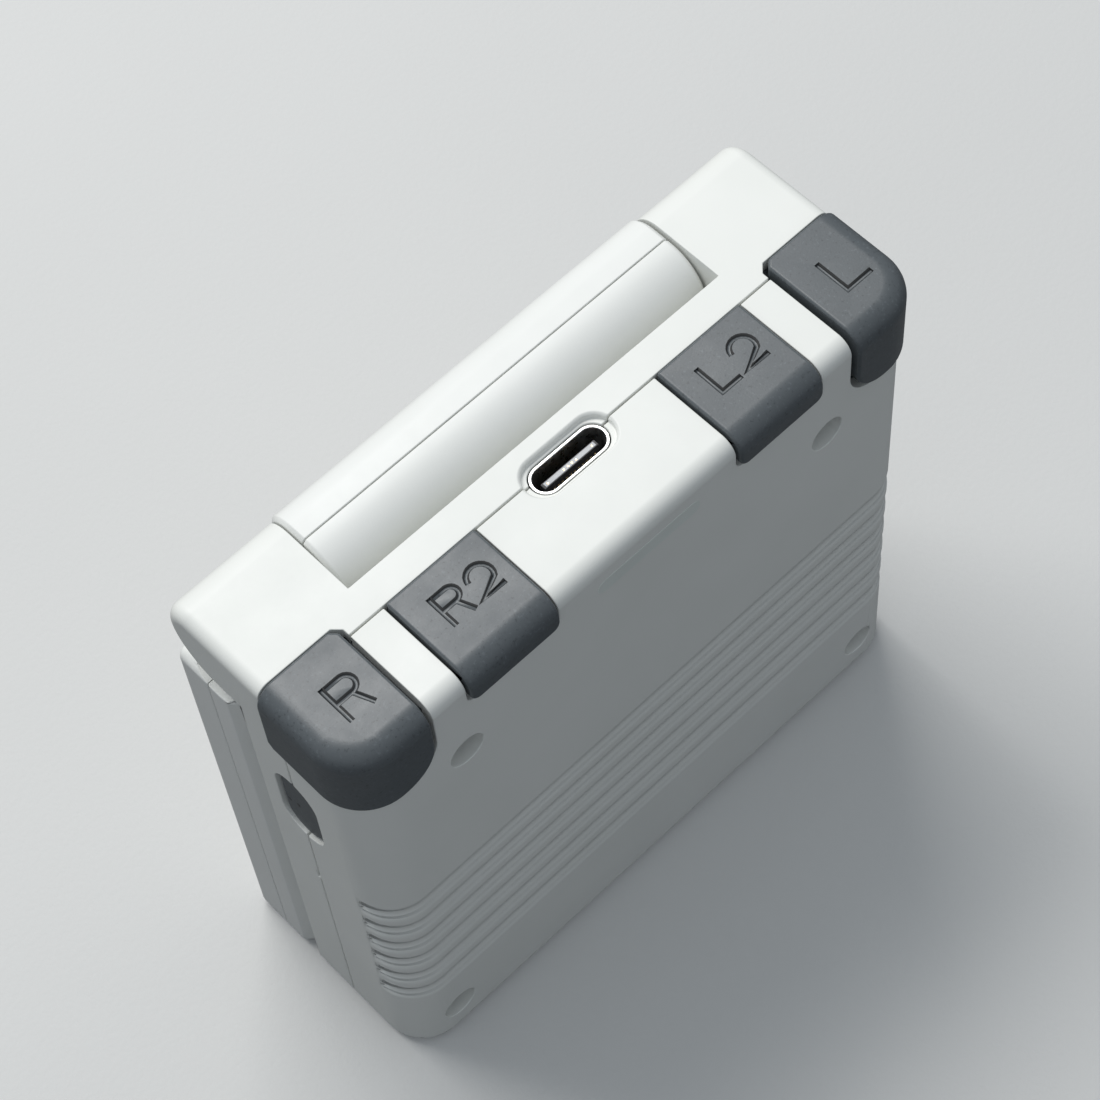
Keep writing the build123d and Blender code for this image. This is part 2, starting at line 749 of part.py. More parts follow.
with BuildPart() as hinge_shaft:
    with BuildSketch(Plane.YZ.offset(-barrel_half + pin_in_barrel)):
        with Locations((hinge_y, hinge_z)):
            Circle(pin_r)
    extrude(amount=-(pin_in_barrel + barrel_gap + cartridge_gap + shaft_socket))
save(hinge_shaft.part, "hinge_shaft")


# ---- Shoulder buttons ----------------------------------------------------------------------------
flange_top = case_h - wall - flange_gap
stem_y = seam_y - stem_depth
cap_grow = shoulder_proud - shoulder_wall


def corner_cap(side):
    """Hollow cap that wraps the case's top, side and back at one corner."""
    edge = seam_y + corner_over
    with BuildPart() as hollow:
        add(base_form(cap_grow, edge - shoulder_wall))
        add(corner_zone(side, -shoulder_wall, -shoulder_wall, corner_low, 0), mode=Mode.INTERSECT)
    with BuildPart() as cap:
        add(base_form(shoulder_proud, edge))
        add(corner_zone(side, 0, 0, 0, corner_bevel), mode=Mode.INTERSECT)
        add(hollow.part, mode=Mode.SUBTRACT)
    return cap.part


def corner_flange():
    """Lip under the case's wall, along the inner edge and along the seam side, for the L side."""
    edge = seam_y + corner_over
    with BuildPart() as lip:
        with BuildSketch(Plane.XY.offset(flange_top)):
            with Locations((corner_in - flange_lap, back_y + wall + fit_gap)):
                Rectangle(
                    flange_lap + shoulder_wall,
                    edge - back_y - wall - fit_gap,
                    align=(Align.MIN, Align.MIN),
                )
            with Locations((corner_in - flange_lap, edge - shoulder_wall)):
                Rectangle(
                    side_x - wall - fit_gap - corner_in + flange_lap,
                    shoulder_wall + flange_lap,
                    align=(Align.MIN, Align.MIN),
                )
        extrude(amount=-flange_t)
    return lip.part


def stem(x, low):
    """Square stem from under a cap down to the plunger of its switch."""
    with BuildPart() as post:
        with BuildSketch(Plane.XY.offset(low)):
            with Locations((x, stem_y)):
                Rectangle(stem_w, stem_w)
        extrude(amount=case_h - wall - low + shoulder_wall / 2)
    return post.part


corner_stem_low = board_high + plunger_h + shoulder_travel + dome_gap
middle_stem_low = board_tab_high + plunger_h + shoulder_travel + dome_gap

with BuildPart() as l_button:
    add(corner_cap(1))
    add(corner_flange())
    add(stem(corner_stem_x, corner_stem_low))
save(l_button.part, "l_button")

with BuildPart() as r_button:
    add(corner_cap(-1))
    add(mirror(corner_flange(), about=Plane.YZ, mode=Mode.PRIVATE))
    add(stem(-corner_stem_x, corner_stem_low))
save(r_button.part, "r_button")


def middle_cap(side):
    """Hollow cap beside the socket, with a lip under the case's wall on three sides."""
    edge = seam_y - middle_short
    with BuildPart() as hollow:
        add(base_form(cap_grow, edge - shoulder_wall))
        add(middle_zone(side, -shoulder_wall, corner_low), mode=Mode.INTERSECT)
    with BuildPart() as cap:
        add(base_form(shoulder_proud, edge))
        add(middle_zone(side, 0, 0), mode=Mode.INTERSECT)
        add(hollow.part, mode=Mode.SUBTRACT)
        with BuildSketch(Plane.XY.offset(flange_top)):
            with Locations((side * middle_x, back_y + wall + fit_gap)):
                Rectangle(
                    middle_w + 2 * flange_lap,
                    edge + flange_lap - back_y - wall - fit_gap,
                    align=(Align.CENTER, Align.MIN),
                )
            with Locations((side * middle_x, back_y)):
                Rectangle(
                    middle_w - 2 * shoulder_wall,
                    edge - shoulder_wall - back_y,
                    align=(Align.CENTER, Align.MIN),
                    mode=Mode.SUBTRACT,
                )
        extrude(amount=-flange_t)
        add(stem(side * middle_x, middle_stem_low))
    return cap.part


with BuildPart() as l2_button:
    add(middle_cap(1))
save(l2_button.part, "l2_button")

with BuildPart() as r2_button:
    add(middle_cap(-1))
save(r2_button.part, "r2_button")

# ---- Side buttons --------------------------------------------------------------------------------
with BuildPart() as power_button:
    with BuildSketch(Plane.YZ.offset(-side_x + power_sink)):
        with Locations((seam_y, side_z)):
            SlotOverall(power_l, power_w, rotation=90)
    extrude(amount=wall - power_sink + flange_gap)
    chamfer(power_button.faces().sort_by(Axis.X)[0].edges(), button_bevel)
    with BuildSketch(Plane.YZ.offset(-side_x + wall + flange_gap)):
        with Locations((seam_y, side_z)):
            Rectangle(power_w, power_l + 2 * side_flange)
    extrude(amount=flange_t)
save(power_button.part, "power_button")

with BuildPart() as volume_rocker:
    with BuildSketch(Plane.YZ.offset(side_x - wall - volume_flange_gap)):
        with Locations((seam_y, side_z)):
            SlotOverall(volume_l, volume_w, rotation=90)
    extrude(amount=wall + volume_flange_gap)
    chamfer(volume_rocker.faces().sort_by(Axis.X)[-1].edges(), button_bevel)
    with BuildSketch(Plane.YZ.offset(side_x - wall - volume_flange_gap)):
        with Locations((seam_y, side_z)):
            Rectangle(volume_w, volume_l + 2 * side_flange)
    extrude(amount=-flange_t)
save(volume_rocker.part, "volume_rocker")

# ---- Cross pad -----------------------------------------------------------------------------------
pad_flange_y = under_face - pad_flange_drop
pivot_y = pad_flange_y - pad_flange_t + pivot_sink
with BuildPart() as dpad:
    with BuildSketch(upright(pad_flange_y)):
        with Locations((pad_x, control_z)):
            Rectangle(pad_span, pad_arm)
            Rectangle(pad_arm, pad_span)
    extrude(amount=-(face_y + pad_proud - pad_flange_y))
    chamfer(dpad.faces().sort_by(Axis.Y)[-1].edges(), button_bevel)
    with BuildSketch(upright(pad_flange_y)):
        with Locations((pad_x, control_z)):
            Circle(pad_flange_r)
    extrude(amount=pad_flange_t)
    # Socket for the rocking seat
    with BuildSketch(upright(pad_flange_y - pad_flange_t)):
        with Locations((pad_x, control_z)):
            Rectangle(pivot_w + 2 * pivot_gap, pivot_w + 2 * pivot_gap)
    extrude(amount=-(pivot_sink + pivot_t / 2 + pivot_gap), mode=Mode.SUBTRACT)
save(dpad.part, "dpad")

with BuildPart() as dpad_pivot:
    with BuildSketch(upright(pivot_y + pivot_t / 2)):
        with Locations((pad_x, control_z)):
            Rectangle(pivot_w, pivot_w)
    extrude(amount=pivot_t)
save(dpad_pivot.part, "dpad_pivot")


# ---- Round and small buttons -----------------------------------------------------------------------
def round_key(place, radius, proud):
    """Round button with two ears that keep it under the control face."""
    with BuildPart() as key:
        with BuildSketch(upright(under_face - flange_gap)):
            with Locations(place):
                Circle(radius)
        extrude(amount=-(face_y + proud - under_face + flange_gap))
        with BuildSketch(upright(under_face - flange_gap)):
            with Locations(place):
                Circle(radius)
                Rectangle(2 * (radius + round_flange), ear_w)
        extrude(amount=key_flange_t)
    return key.part


def small_key(place):
    """Flat oblong button, made and kept in the same way."""
    with BuildPart() as key:
        with BuildSketch(upright(under_face - flange_gap)):
            with Locations(place):
                SlotOverall(small_w, small_h)
        extrude(amount=-(face_y + small_proud - under_face + flange_gap))
        with BuildSketch(upright(under_face - flange_gap)):
            with Locations(place):
                SlotOverall(small_w, small_h)
                Rectangle(small_w + 2 * round_flange, ear_w)
        extrude(amount=key_flange_t)
    return key.part


for key_name, key_place in round_keys.items():
    save(round_key(key_place, round_r, round_proud), key_name)
for key_name, key_place in small_keys.items():
    save(small_key(key_place), key_name)
save(round_key((0, menu_z), menu_r, small_proud), "menu_button")


# ---- Rubber mats -----------------------------------------------------------------------------------
def contact_mat(places, dome_r, dome_top):
    """Sheet on the board with a tapered square dome under each key."""
    xs = [x for x, z in places]
    zs = [z for x, z in places]
    middle = ((min(xs) + max(xs)) / 2, (min(zs) + max(zs)) / 2)
    edge = 2 * (dome_r + mat_edge - round_flange)
    with BuildPart() as mat:
        with BuildSketch(upright(seam_y)):
            with Locations(middle):
                Rectangle(max(xs) - min(xs) + edge, max(zs) - min(zs) + edge)
        extrude(amount=-mat_t)
        with BuildSketch(upright(seam_y + mat_t)):
            with Locations(*places):
                Rectangle(2 * dome_r, 2 * dome_r)
        extrude(amount=-(dome_top - seam_y - mat_t), taper=dome_taper)
    return mat.part


key_home = under_face - flange_gap - key_flange_t - round_travel - dome_gap
pad_ring = pad_span / 2 - pad_arm / 2
pad_under = pad_flange_y - pad_flange_t
pad_home = pad_under - (pad_ring + pivot_w / 2) * math.sin(math.radians(pad_tilt)) - dome_gap
pad_places = [
    (pad_x - pad_ring, control_z),
    (pad_x + pad_ring, control_z),
    (pad_x, control_z - pad_ring),
    (pad_x, control_z + pad_ring),
]

with BuildPart() as dpad_mat:
    add(contact_mat(pad_places, pivot_w / 2, pad_home))
    # Column under the rocking seat
    with BuildSketch(upright(seam_y)):
        with Locations((pad_x, control_z)):
            Rectangle(pivot_w, pivot_w)
    extrude(amount=-(pivot_y - pivot_t / 2 - pivot_gap - seam_y))
save(dpad_mat.part, "dpad_mat")

with BuildPart() as button_mat:
    add(contact_mat(list(round_keys.values()), round_r - round_flange, key_home))
save(button_mat.part, "button_mat")

with BuildPart() as small_mats:
    add(contact_mat(list(small_keys.values()), small_h / 2, key_home))
    add(contact_mat([(0, menu_z)], small_h / 2, key_home))
save(small_mats.part, "small_mats")

# ---- Board and what is on it -------------------------------------------------------------------------
with BuildPart() as main_board:
    with BuildSketch(upright(board_back)):
        with Locations((0, board_low)):
            Rectangle(board_w, board_high - board_low, align=(Align.CENTER, Align.MIN))
            Rectangle(board_tab_w, board_tab_high - board_low, align=(Align.CENTER, Align.MIN))
        # Notch for the socket
        with Locations((0, case_h - usb_sink - usb_l - usb_gap)):
            notch = usb_w + 2 * usb_gap
            Rectangle(notch, beyond, align=(Align.CENTER, Align.MIN), mode=Mode.SUBTRACT)
        # Openings for the bosses, whose posts carry the board round them
        with Locations(*screws):
            Rectangle(boss_w + 2 * boss_gap, boss_w + 2 * boss_gap, mode=Mode.SUBTRACT)
    extrude(amount=-board_t)
save(main_board.part, "main_board")

with BuildPart() as usb_shell:
    with BuildSketch(Plane.XY.offset(case_h - usb_sink)):
        with Locations((0, usb_y)):
            SlotOverall(usb_w, usb_h)
    extrude(amount=-usb_l)
    with BuildSketch(Plane.XY.offset(case_h - usb_sink)):
        with Locations((0, usb_y)):
            SlotOverall(usb_w - 2 * usb_wall, usb_h - 2 * usb_wall)
    extrude(amount=-usb_l, mode=Mode.SUBTRACT)
save(usb_shell.part, "usb_shell")

with BuildPart() as usb_tongue:
    with BuildSketch(Plane.XY.offset(case_h - usb_sink - usb_l)):
        with Locations((0, usb_y)):
            SlotOverall(usb_w - 2 * usb_wall, usb_h - 2 * usb_wall)
    extrude(amount=tongue_back)
    with BuildSketch(Plane.XY.offset(case_h - usb_sink - usb_l + tongue_back)):
        with Locations((0, usb_y)):
            Rectangle(tongue_w, tongue_t)
    extrude(amount=tongue_l)
save(usb_tongue.part, "usb_tongue")

with BuildPart() as shoulder_switches:
    for switch_x, switch_top in ((corner_stem_x, board_high), (middle_x, board_tab_high)):
        with BuildSketch(Plane.XY.offset(switch_top)):
            with Locations((-switch_x, board_back), (switch_x, board_back)):
                Rectangle(switch_w, switch_d, align=(Align.CENTER, Align.MAX))
        extrude(amount=-switch_h)
        with BuildSketch(Plane.XY.offset(switch_top)):
            with Locations((-switch_x, stem_y), (switch_x, stem_y)):
                Rectangle(plunger_w, plunger_w)
        extrude(amount=plunger_h)
save(shoulder_switches.part, "shoulder_switches")

with BuildPart() as card_socket:
    with BuildSketch(Plane.XY.offset(wall + fit_gap)):
        with Locations((card_x, board_back)):
            Rectangle(card_w, card_t, align=(Align.CENTER, Align.MAX))
        with Locations((card_x, board_back - card_t / 2)):
            Rectangle(card_slot_w, card_slot_t, mode=Mode.SUBTRACT)
    extrude(amount=card_l)
save(card_socket.part, "card_socket")

with BuildPart() as shield_can:
    with BuildSketch(upright(board_back)):
        with Locations((can_x, can_z)):
            Rectangle(can_w, can_h)
    extrude(amount=can_t)
save(shield_can.part, "shield_can")

with BuildPart() as battery:
    with BuildSketch(upright(back_y + wall)):
        with Locations((0, battery_low + battery_h / 2)):
            Rectangle(battery_w, battery_h)
    extrude(amount=-battery_t)
save(battery.part, "battery")

with BuildPart() as speaker:
    with BuildSketch(upright(under_face)):
        with Locations((speaker_x, speaker_z)):
            Rectangle(speaker_w, speaker_h)
    extrude(amount=speaker_t)
save(speaker.part, "speaker")

with BuildPart() as side_switches:
    for side, reach in (
        (-1, side_x - wall - flange_gap - flange_t - power_travel - dome_gap),
        (1, side_x - wall - volume_flange_gap - flange_t - power_travel - dome_gap),
    ):
        with BuildSketch(upright(board_back)):
            with Locations((side * (reach - switch_w / 2), side_z)):
                Rectangle(switch_w, switch_h)
        extrude(amount=switch_d)
save(side_switches.part, "side_switches")

with BuildPart() as case_screws:
    with BuildSketch(upright(seat_y)):
        with Locations(*screws):
            Circle(head_r)
    extrude(amount=head_t)
    with BuildSketch(upright(seat_y)):
        with Locations(*screws):
            RegularPolygon(shank_r, shank_sides)
    extrude(amount=-shank_l)
save(case_screws.part, "case_screws")
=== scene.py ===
import json
import math

import bmesh
import bpy
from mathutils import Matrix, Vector


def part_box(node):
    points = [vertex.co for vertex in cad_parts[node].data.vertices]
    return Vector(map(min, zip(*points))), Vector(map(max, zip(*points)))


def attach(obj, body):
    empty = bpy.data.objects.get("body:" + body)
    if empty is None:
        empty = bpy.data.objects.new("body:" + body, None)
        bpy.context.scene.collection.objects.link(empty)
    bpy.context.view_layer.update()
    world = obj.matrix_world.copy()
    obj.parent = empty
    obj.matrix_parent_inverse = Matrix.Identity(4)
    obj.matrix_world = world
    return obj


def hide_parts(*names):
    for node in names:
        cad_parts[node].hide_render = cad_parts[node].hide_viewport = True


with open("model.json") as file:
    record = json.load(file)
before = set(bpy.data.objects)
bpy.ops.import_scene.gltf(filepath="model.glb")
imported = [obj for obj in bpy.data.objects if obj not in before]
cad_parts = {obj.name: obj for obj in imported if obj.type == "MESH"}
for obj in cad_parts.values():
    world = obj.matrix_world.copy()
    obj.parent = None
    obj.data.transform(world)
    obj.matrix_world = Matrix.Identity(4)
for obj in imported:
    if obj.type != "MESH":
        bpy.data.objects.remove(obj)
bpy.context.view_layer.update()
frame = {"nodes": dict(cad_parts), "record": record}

# ---- Viewpoint, floor and light -----------------------------------------------------------------
# The closed console stands on its front edge on a plain pale floor. It is seen from high up, off
# its back and its R side, through a long lens. A large soft lamp stands beyond the lid, so the
# hinge edge is bright and the back cover is in soft shade. A second gives the button tops a sheen.
mm = 0.001
scene = bpy.context.scene
scene.view_settings.view_transform = "Standard"

lens = bpy.data.cameras.new("long lens")
lens.sensor_width = 36.0
lens.lens = 100.82
lens.clip_start = 0.01
camera = bpy.data.objects.new("camera", lens)
camera.location = (-90.217 * mm, -113.358 * mm, 302.853 * mm)
camera.rotation_euler = [math.radians(turn) for turn in (29.391, 3.199, -43.732)]
scene.collection.objects.link(camera)
scene.camera = camera


def soft_lamp(name, place, aim, size, watts, colour):
    """Square soft box that looks at the console."""
    lamp = bpy.data.lights.new(name, "AREA")
    lamp.shape = "SQUARE"
    lamp.size = size
    lamp.energy = watts
    lamp.color = colour
    stand = bpy.data.objects.new(name, lamp)
    stand.location = place
    stand.rotation_euler = (Vector(aim) - Vector(place)).to_track_quat("-Z", "Y").to_euler()
    scene.collection.objects.link(stand)


daylight = (1.0, 0.99, 0.97)
soft_lamp("window beyond the lid", (-0.10, 0.52, 0.74), (0, 0, 0.04), 0.42, 3.5, daylight)
soft_lamp("ceiling lamp over the L side", (0.16, 0.33, 0.72), (0, 0, 0.05), 0.25, 1.7, daylight)

world = bpy.data.worlds.new("room")
world.use_nodes = True
world.node_tree.nodes["Background"].inputs["Color"].default_value = (0.86, 0.93, 1.0, 1)
world.node_tree.nodes["Background"].inputs["Strength"].default_value = 0.44
scene.world = world


def node_setup(name, rough, metal=0.0, specular=0.5):
    """New material with its shader and a place to read its patterns from."""
    finish = bpy.data.materials.new(name)
    finish.use_nodes = True
    tree = finish.node_tree
    shader = tree.nodes["Principled BSDF"]
    shader.inputs["Roughness"].default_value = rough
    shader.inputs["Metallic"].default_value = metal
    shader.inputs["Specular IOR Level"].default_value = specular
    where = tree.nodes.new("ShaderNodeTexCoord").outputs["Object"]
    return finish, tree, shader, where


def clouds(tree, where, scale, detail=3.0, rough=0.55, distortion=0.0):
    """Noise pattern, whose scale is in spots per metre."""
    noise = tree.nodes.new("ShaderNodeTexNoise")
    noise.inputs["Scale"].default_value = scale
    noise.inputs["Detail"].default_value = detail
    noise.inputs["Roughness"].default_value = rough
    noise.inputs["Distortion"].default_value = distortion
    tree.links.new(where, noise.inputs["Vector"])
    return noise.outputs["Fac"]


def graded(tree, pattern, stops):
    """Colour that runs through the given stops as the pattern rises."""
    ramp = tree.nodes.new("ShaderNodeValToRGB")
    ends = ramp.color_ramp.elements
    while len(ends) < len(stops):
        ends.new(0.5)
    for end, (level, colour) in zip(ends, stops):
        end.position = level
        end.color = (*colour, 1)
    tree.links.new(pattern, ramp.inputs["Fac"])
    return ramp.outputs["Color"]


def blended(tree, amount, one, other, kind="MIX"):
    """One colour laid over another by a pattern."""
    mixer = tree.nodes.new("ShaderNodeMix")
    mixer.data_type = "RGBA"
    mixer.blend_type = kind
    if isinstance(amount, float):
        mixer.inputs["Factor"].default_value = amount
    else:
        tree.links.new(amount, mixer.inputs["Factor"])
    for socket, colour in ((6, one), (7, other)):
        if isinstance(colour, tuple):
            mixer.inputs[socket].default_value = (*colour, 1)
        else:
            tree.links.new(colour, mixer.inputs[socket])
    return mixer.outputs[2]


def relief(tree, shader, pattern, height, strength=1.0, under=None):
    """Pattern raised on the surface by that height."""
    bump = tree.nodes.new("ShaderNodeBump")
    bump.inputs["Distance"].default_value = height
    bump.inputs["Strength"].default_value = strength
    tree.links.new(pattern, bump.inputs["Height"])
    if under is not None:
        tree.links.new(under, bump.inputs["Normal"])
    tree.links.new(bump.outputs["Normal"], shader.inputs["Normal"])
    return bump.outputs["Normal"]


floor_finish, tree, shader, where = node_setup("pale painted board", 0.85, specular=0.2)
tones = [(0.3, (0.66, 0.66, 0.65)), (0.7, (0.72, 0.72, 0.71))]
tone = graded(tree, clouds(tree, where, 3.0, 4), tones)
dimmed = (0.13, 0.13, 0.13)
seen = tree.nodes.new("ShaderNodeLightPath").outputs["Is Camera Ray"]
tree.links.new(blended(tree, seen, dimmed, tone), shader.inputs["Base Color"])
relief(tree, shader, clouds(tree, where, 1400.0, 4), 0.1 * mm, 0.4)
floor_half = 2.5
board = bmesh.new()
bmesh.ops.create_grid(board, x_segments=8, y_segments=8, size=floor_half)
floor_mesh = bpy.data.meshes.new("floor")
board.to_mesh(floor_mesh)
board.free()
floor_mesh.materials.append(floor_finish)
floor = bpy.data.objects.new("floor", floor_mesh)
scene.collection.objects.link(floor)

# ---- Back cover and sides: rear shell -----------------------------------------------------------
# The deeper half of the lower case is moulded in off-white plastic with a very fine satin grain.
# It rolls over into the sides and the hinge edge, and takes four screws in round recesses. The six
# grip grooves are softened into shallow waves, and the shell stands a hair off its seam.
bodies = frame["record"]["behaviour"]["bodies"]
body_of = {node: body for body, nodes in bodies.items() for node in nodes}
sharp = math.radians(28)


def span(tree, pattern, low, high, out_low, out_high):
    """Pattern stretched from one range of values to another."""
    stretch = tree.nodes.new("ShaderNodeMapRange")
    ends = {"From Min": low, "From Max": high, "To Min": out_low, "To Max": out_high}
    for socket, value in ends.items():
        stretch.inputs[socket].default_value = value
    tree.links.new(pattern, stretch.inputs["Value"])
    return stretch.outputs["Result"]


def moulded(name, dark, light, rough, grain_size, grain_height, fleck=0.0, specular=0.5):
    """Moulded plastic: an even tone with slight clouds, a fine grain and a patchy haze."""
    finish, tree, shader, where = node_setup(name, rough, specular=specular)
    tone = graded(tree, clouds(tree, where, 45.0, 3), [(0.35, dark), (0.65, light)])
    specks = clouds(tree, where, 0.55 / grain_size, 2, 0.6)
    if fleck:
        pale = tuple(min(1.0, part * (1 + fleck)) for part in light)
        deep = tuple(part * (1 - fleck) for part in dark)
        tone = blended(tree, span(tree, specks, 0.60, 0.72, 0.0, 1.0), tone, pale)
        tone = blended(tree, span(tree, specks, 0.40, 0.28, 0.0, 1.0), tone, deep)
    tree.links.new(tone, shader.inputs["Base Color"])
    haze = span(tree, clouds(tree, where, 110.0, 5, 0.7), 0.3, 0.7, rough - 0.07, rough + 0.07)
    tree.links.new(haze, shader.inputs["Roughness"])
    relief(tree, shader, clouds(tree, where, 1 / grain_size, 3, 0.65), grain_height, 0.5)
    return finish


def eased(
    node, name, finish, corner, rounds=2, cutters=(),
    seams=(), seam_gap=0.0, soft=None, moved=None, cut_painted_shade=None,
):
    """The piece on a node, with its sharp corners eased and any marks cut into it.

    The planes in seams move back by seam_gap. Where soft is given, only the corners it picks take
    the whole width of the easing. Where moved is given, it says where each corner of the mesh goes.
    """
    weld = 0.0005 * mm
    flat = math.radians(0.6)
    hard_corner = 0.1 * mm
    on_seam = 0.01 * mm
    shape = bmesh.new()
    shape.from_mesh(frame["nodes"][node].data)
    bmesh.ops.remove_doubles(shape, verts=shape.verts, dist=weld)
    bmesh.ops.dissolve_limit(shape, angle_limit=flat, verts=shape.verts, edges=shape.edges)
    for face in shape.faces:
        face.smooth = True
        face.material_index = 0
    for edge in shape.edges:
        edge.smooth = True
    if soft:
        weights = shape.edges.layers.float.new("bevel_weight_edge")
        for edge in shape.edges:
            if len(edge.link_faces) == 2 and edge.calc_face_angle() > sharp:
                picked = all(soft(end.co) for end in edge.verts)
                edge[weights] = 1.0 if picked else hard_corner / corner
    if moved:
        for end in shape.verts:
            end.co = moved(end.co)
    for seam in seams:
        for end in shape.verts:
            if abs(end.co.y - seam) < on_seam:
                end.co.y -= seam_gap
    mesh = bpy.data.meshes.new(name)
    shape.to_mesh(mesh)
    shape.free()
    mesh.materials.append(finish)
    # The cut faces can take a second material, here the painted shade of the letter walls.
    if cut_painted_shade:
        mesh.materials.append(cut_painted_shade)
    piece = bpy.data.objects.new(name, mesh)
    scene.collection.objects.link(piece)
    easing = piece.modifiers.new("eased corners", "BEVEL")
    easing.width = corner
    easing.segments = rounds
    easing.limit_method = "WEIGHT" if soft else "ANGLE"
    easing.angle_limit = sharp
    easing.use_clamp_overlap = False
    for cutter in cutters:
        cut = piece.modifiers.new("cut", "BOOLEAN")
        cut.operation = "DIFFERENCE"
        cut.solver = "EXACT"
        cut.object = cutter
    shading = piece.modifiers.new("even shading", "WEIGHTED_NORMAL")
    shading.weight = 80
    bpy.context.view_layer.update()
    finished = piece.evaluated_get(bpy.context.evaluated_depsgraph_get())
    solid = bpy.data.meshes.new_from_object(finished)
    piece.modifiers.clear()
    piece.data = solid
    for cutter in cutters:
        bpy.data.objects.remove(cutter)
    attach(piece, body_of[node])
    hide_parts(node)
    return piece


case_white = moulded(
    "off-white case plastic", (0.815, 0.825, 0.79), (0.845, 0.852, 0.82), 0.47, 0.16 * mm, 0.012 * mm,
)
back_low, back_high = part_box("rear_shell")
groove_rows = [13.75 + 4.0 * row for row in range(6)]
groove_reach = 0.95
wave_half = 1.35
wave_floor_half = 0.35
wave_lift = 0.18 * mm
roll_start = 30.7 * mm
roll_radius = 4.8 * mm
outer_ring = 4.6 * mm
screw_places = [(-23.1, 55.55), (23.1, 55.55), (-29.5, 5.2), (29.5, 5.2)]
recess_radius = 2.2 * mm
snug_radius = 1.97 * mm


def nearest_groove(spot):
    """Height of the grip groove that a corner of the mesh belongs to, or nothing."""
    depth = spot.y - back_low[1]
    near_back = depth < 0.6 * mm
    near_bend = depth < 4.9 * mm and abs(spot.x) > 30.5 * mm
    middle = min(groove_rows, key=lambda height: abs(height - spot.z / mm))
    near_row = abs(middle - spot.z / mm) < groove_reach
    return middle if (near_back or near_bend) and near_row else None


def softened_back(spot):
    """Where a corner of the mesh goes, as grooves become waves and recesses fit the heads."""
    middle = nearest_groove(spot)
    if middle:
        side = math.copysign(1, spot.z / mm - middle)
        roll_x = math.copysign(max(0.0, abs(spot.x) - roll_start), spot.x)
        roll = Vector((roll_x, spot.y - back_low[1] - roll_radius, 0))
        if roll.length > outer_ring:
            return Vector((spot.x, spot.y, (middle + side * wave_half) * mm))
        lift = roll.normalized() * wave_lift
        return Vector((spot.x + lift.x, spot.y + lift.y, (middle + side * wave_floor_half) * mm))
    for x, z in screw_places:
        out_x = spot.x - x * mm
        out_z = spot.z - z * mm
        reach = math.hypot(out_x, out_z)
        if abs(reach - recess_radius) < 0.02 * mm:
            shrink = snug_radius / reach
            return Vector((x * mm + out_x * shrink, spot.y, z * mm + out_z * shrink))
    return spot


eased(
    "rear_shell", "back_cover_shell", case_white, 0.32 * mm, 4,
    seams=[back_high[1]], seam_gap=0.20 * mm, soft=nearest_groove, moved=softened_back,
)

# ---- Bare oblong under the socket ---------------------------------------------------------------
# A thin oblong is printed on the back cover just below the hinge edge, in a clear satin ink that
# is a little greener and glossier than the plastic round it. It is left bare.
pad_half = 6.4
pad_low = 62.3
pad_high = 64.2
ink, tree, shader, where = node_setup("satin clear ink", 0.32)
tones = [(0.3, (0.76, 0.80, 0.76)), (0.7, (0.80, 0.84, 0.80))]
tone = graded(tree, clouds(tree, where, 300.0, 3), tones)
tree.links.new(tone, shader.inputs["Base Color"])
relief(tree, shader, clouds(tree, where, 9000.0, 2), 0.004 * mm, 0.4)


def oblong(name, centre, across, up, outward, half, radius, thick, bevel, steps=12):
    """Flat stadium-shaped plate whose outer rim is eased."""
    outline = []
    for side in (1, -1):
        for step in range(steps + 1):
            turn = math.pi * step / steps
            along = side * (half - radius) + side * radius * math.sin(turn)
            rise = side * radius * math.cos(turn)
            outline.append((along, rise))
    shape = bmesh.new()
    rings = []
    for inset, height in ((0, 0), (0, thick - bevel), (bevel, thick)):
        ring = []
        for along, rise in outline:
            shrink = 1 - inset / radius
            middle = math.copysign(half - radius, along)
            spot = Vector(across) * (middle + (along - middle) * shrink)
            spot += Vector(up) * rise * shrink
            ring.append(shape.verts.new(Vector(centre) + spot + Vector(outward) * height))
        rings.append(ring)
    for lower, upper in zip(rings, rings[1:]):
        for one, (a, b) in enumerate(zip(lower, lower[1:] + lower[:1])):
            c, d = (upper + upper[:1])[one + 1], upper[one]
            shape.faces.new((a, b, c, d))
    shape.faces.new(rings[-1])
    shape.faces.new(rings[0][::-1])
    bmesh.ops.recalc_face_normals(shape, faces=shape.faces)
    mesh = bpy.data.meshes.new(name)
    shape.to_mesh(mesh)
    shape.free()
    plate = bpy.data.objects.new(name, mesh)
    scene.collection.objects.link(plate)
    return plate


ink_middle = (0, back_low[1] + 0.01 * mm, (pad_low + pad_high) / 2 * mm)
ink_radius = (pad_high - pad_low) / 2 * mm
print_pad = oblong(
    "bare_oblong", ink_middle, (1, 0, 0), (0, 0, 1), (0, -1, 0),
    pad_half * mm, ink_radius, 0.03 * mm, 0.01 * mm,
)
print_pad.data.materials.append(ink)
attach(print_pad, "base")

# ---- Control face and hinge knuckles: front shell -----------------------------------------------
# The thinner half of the lower case is moulded in the same off-white plastic. It carries the
# control face and the two knuckles that hold the lid's barrel.
eased("front_shell", "control_face_shell", case_white, 0.10 * mm)

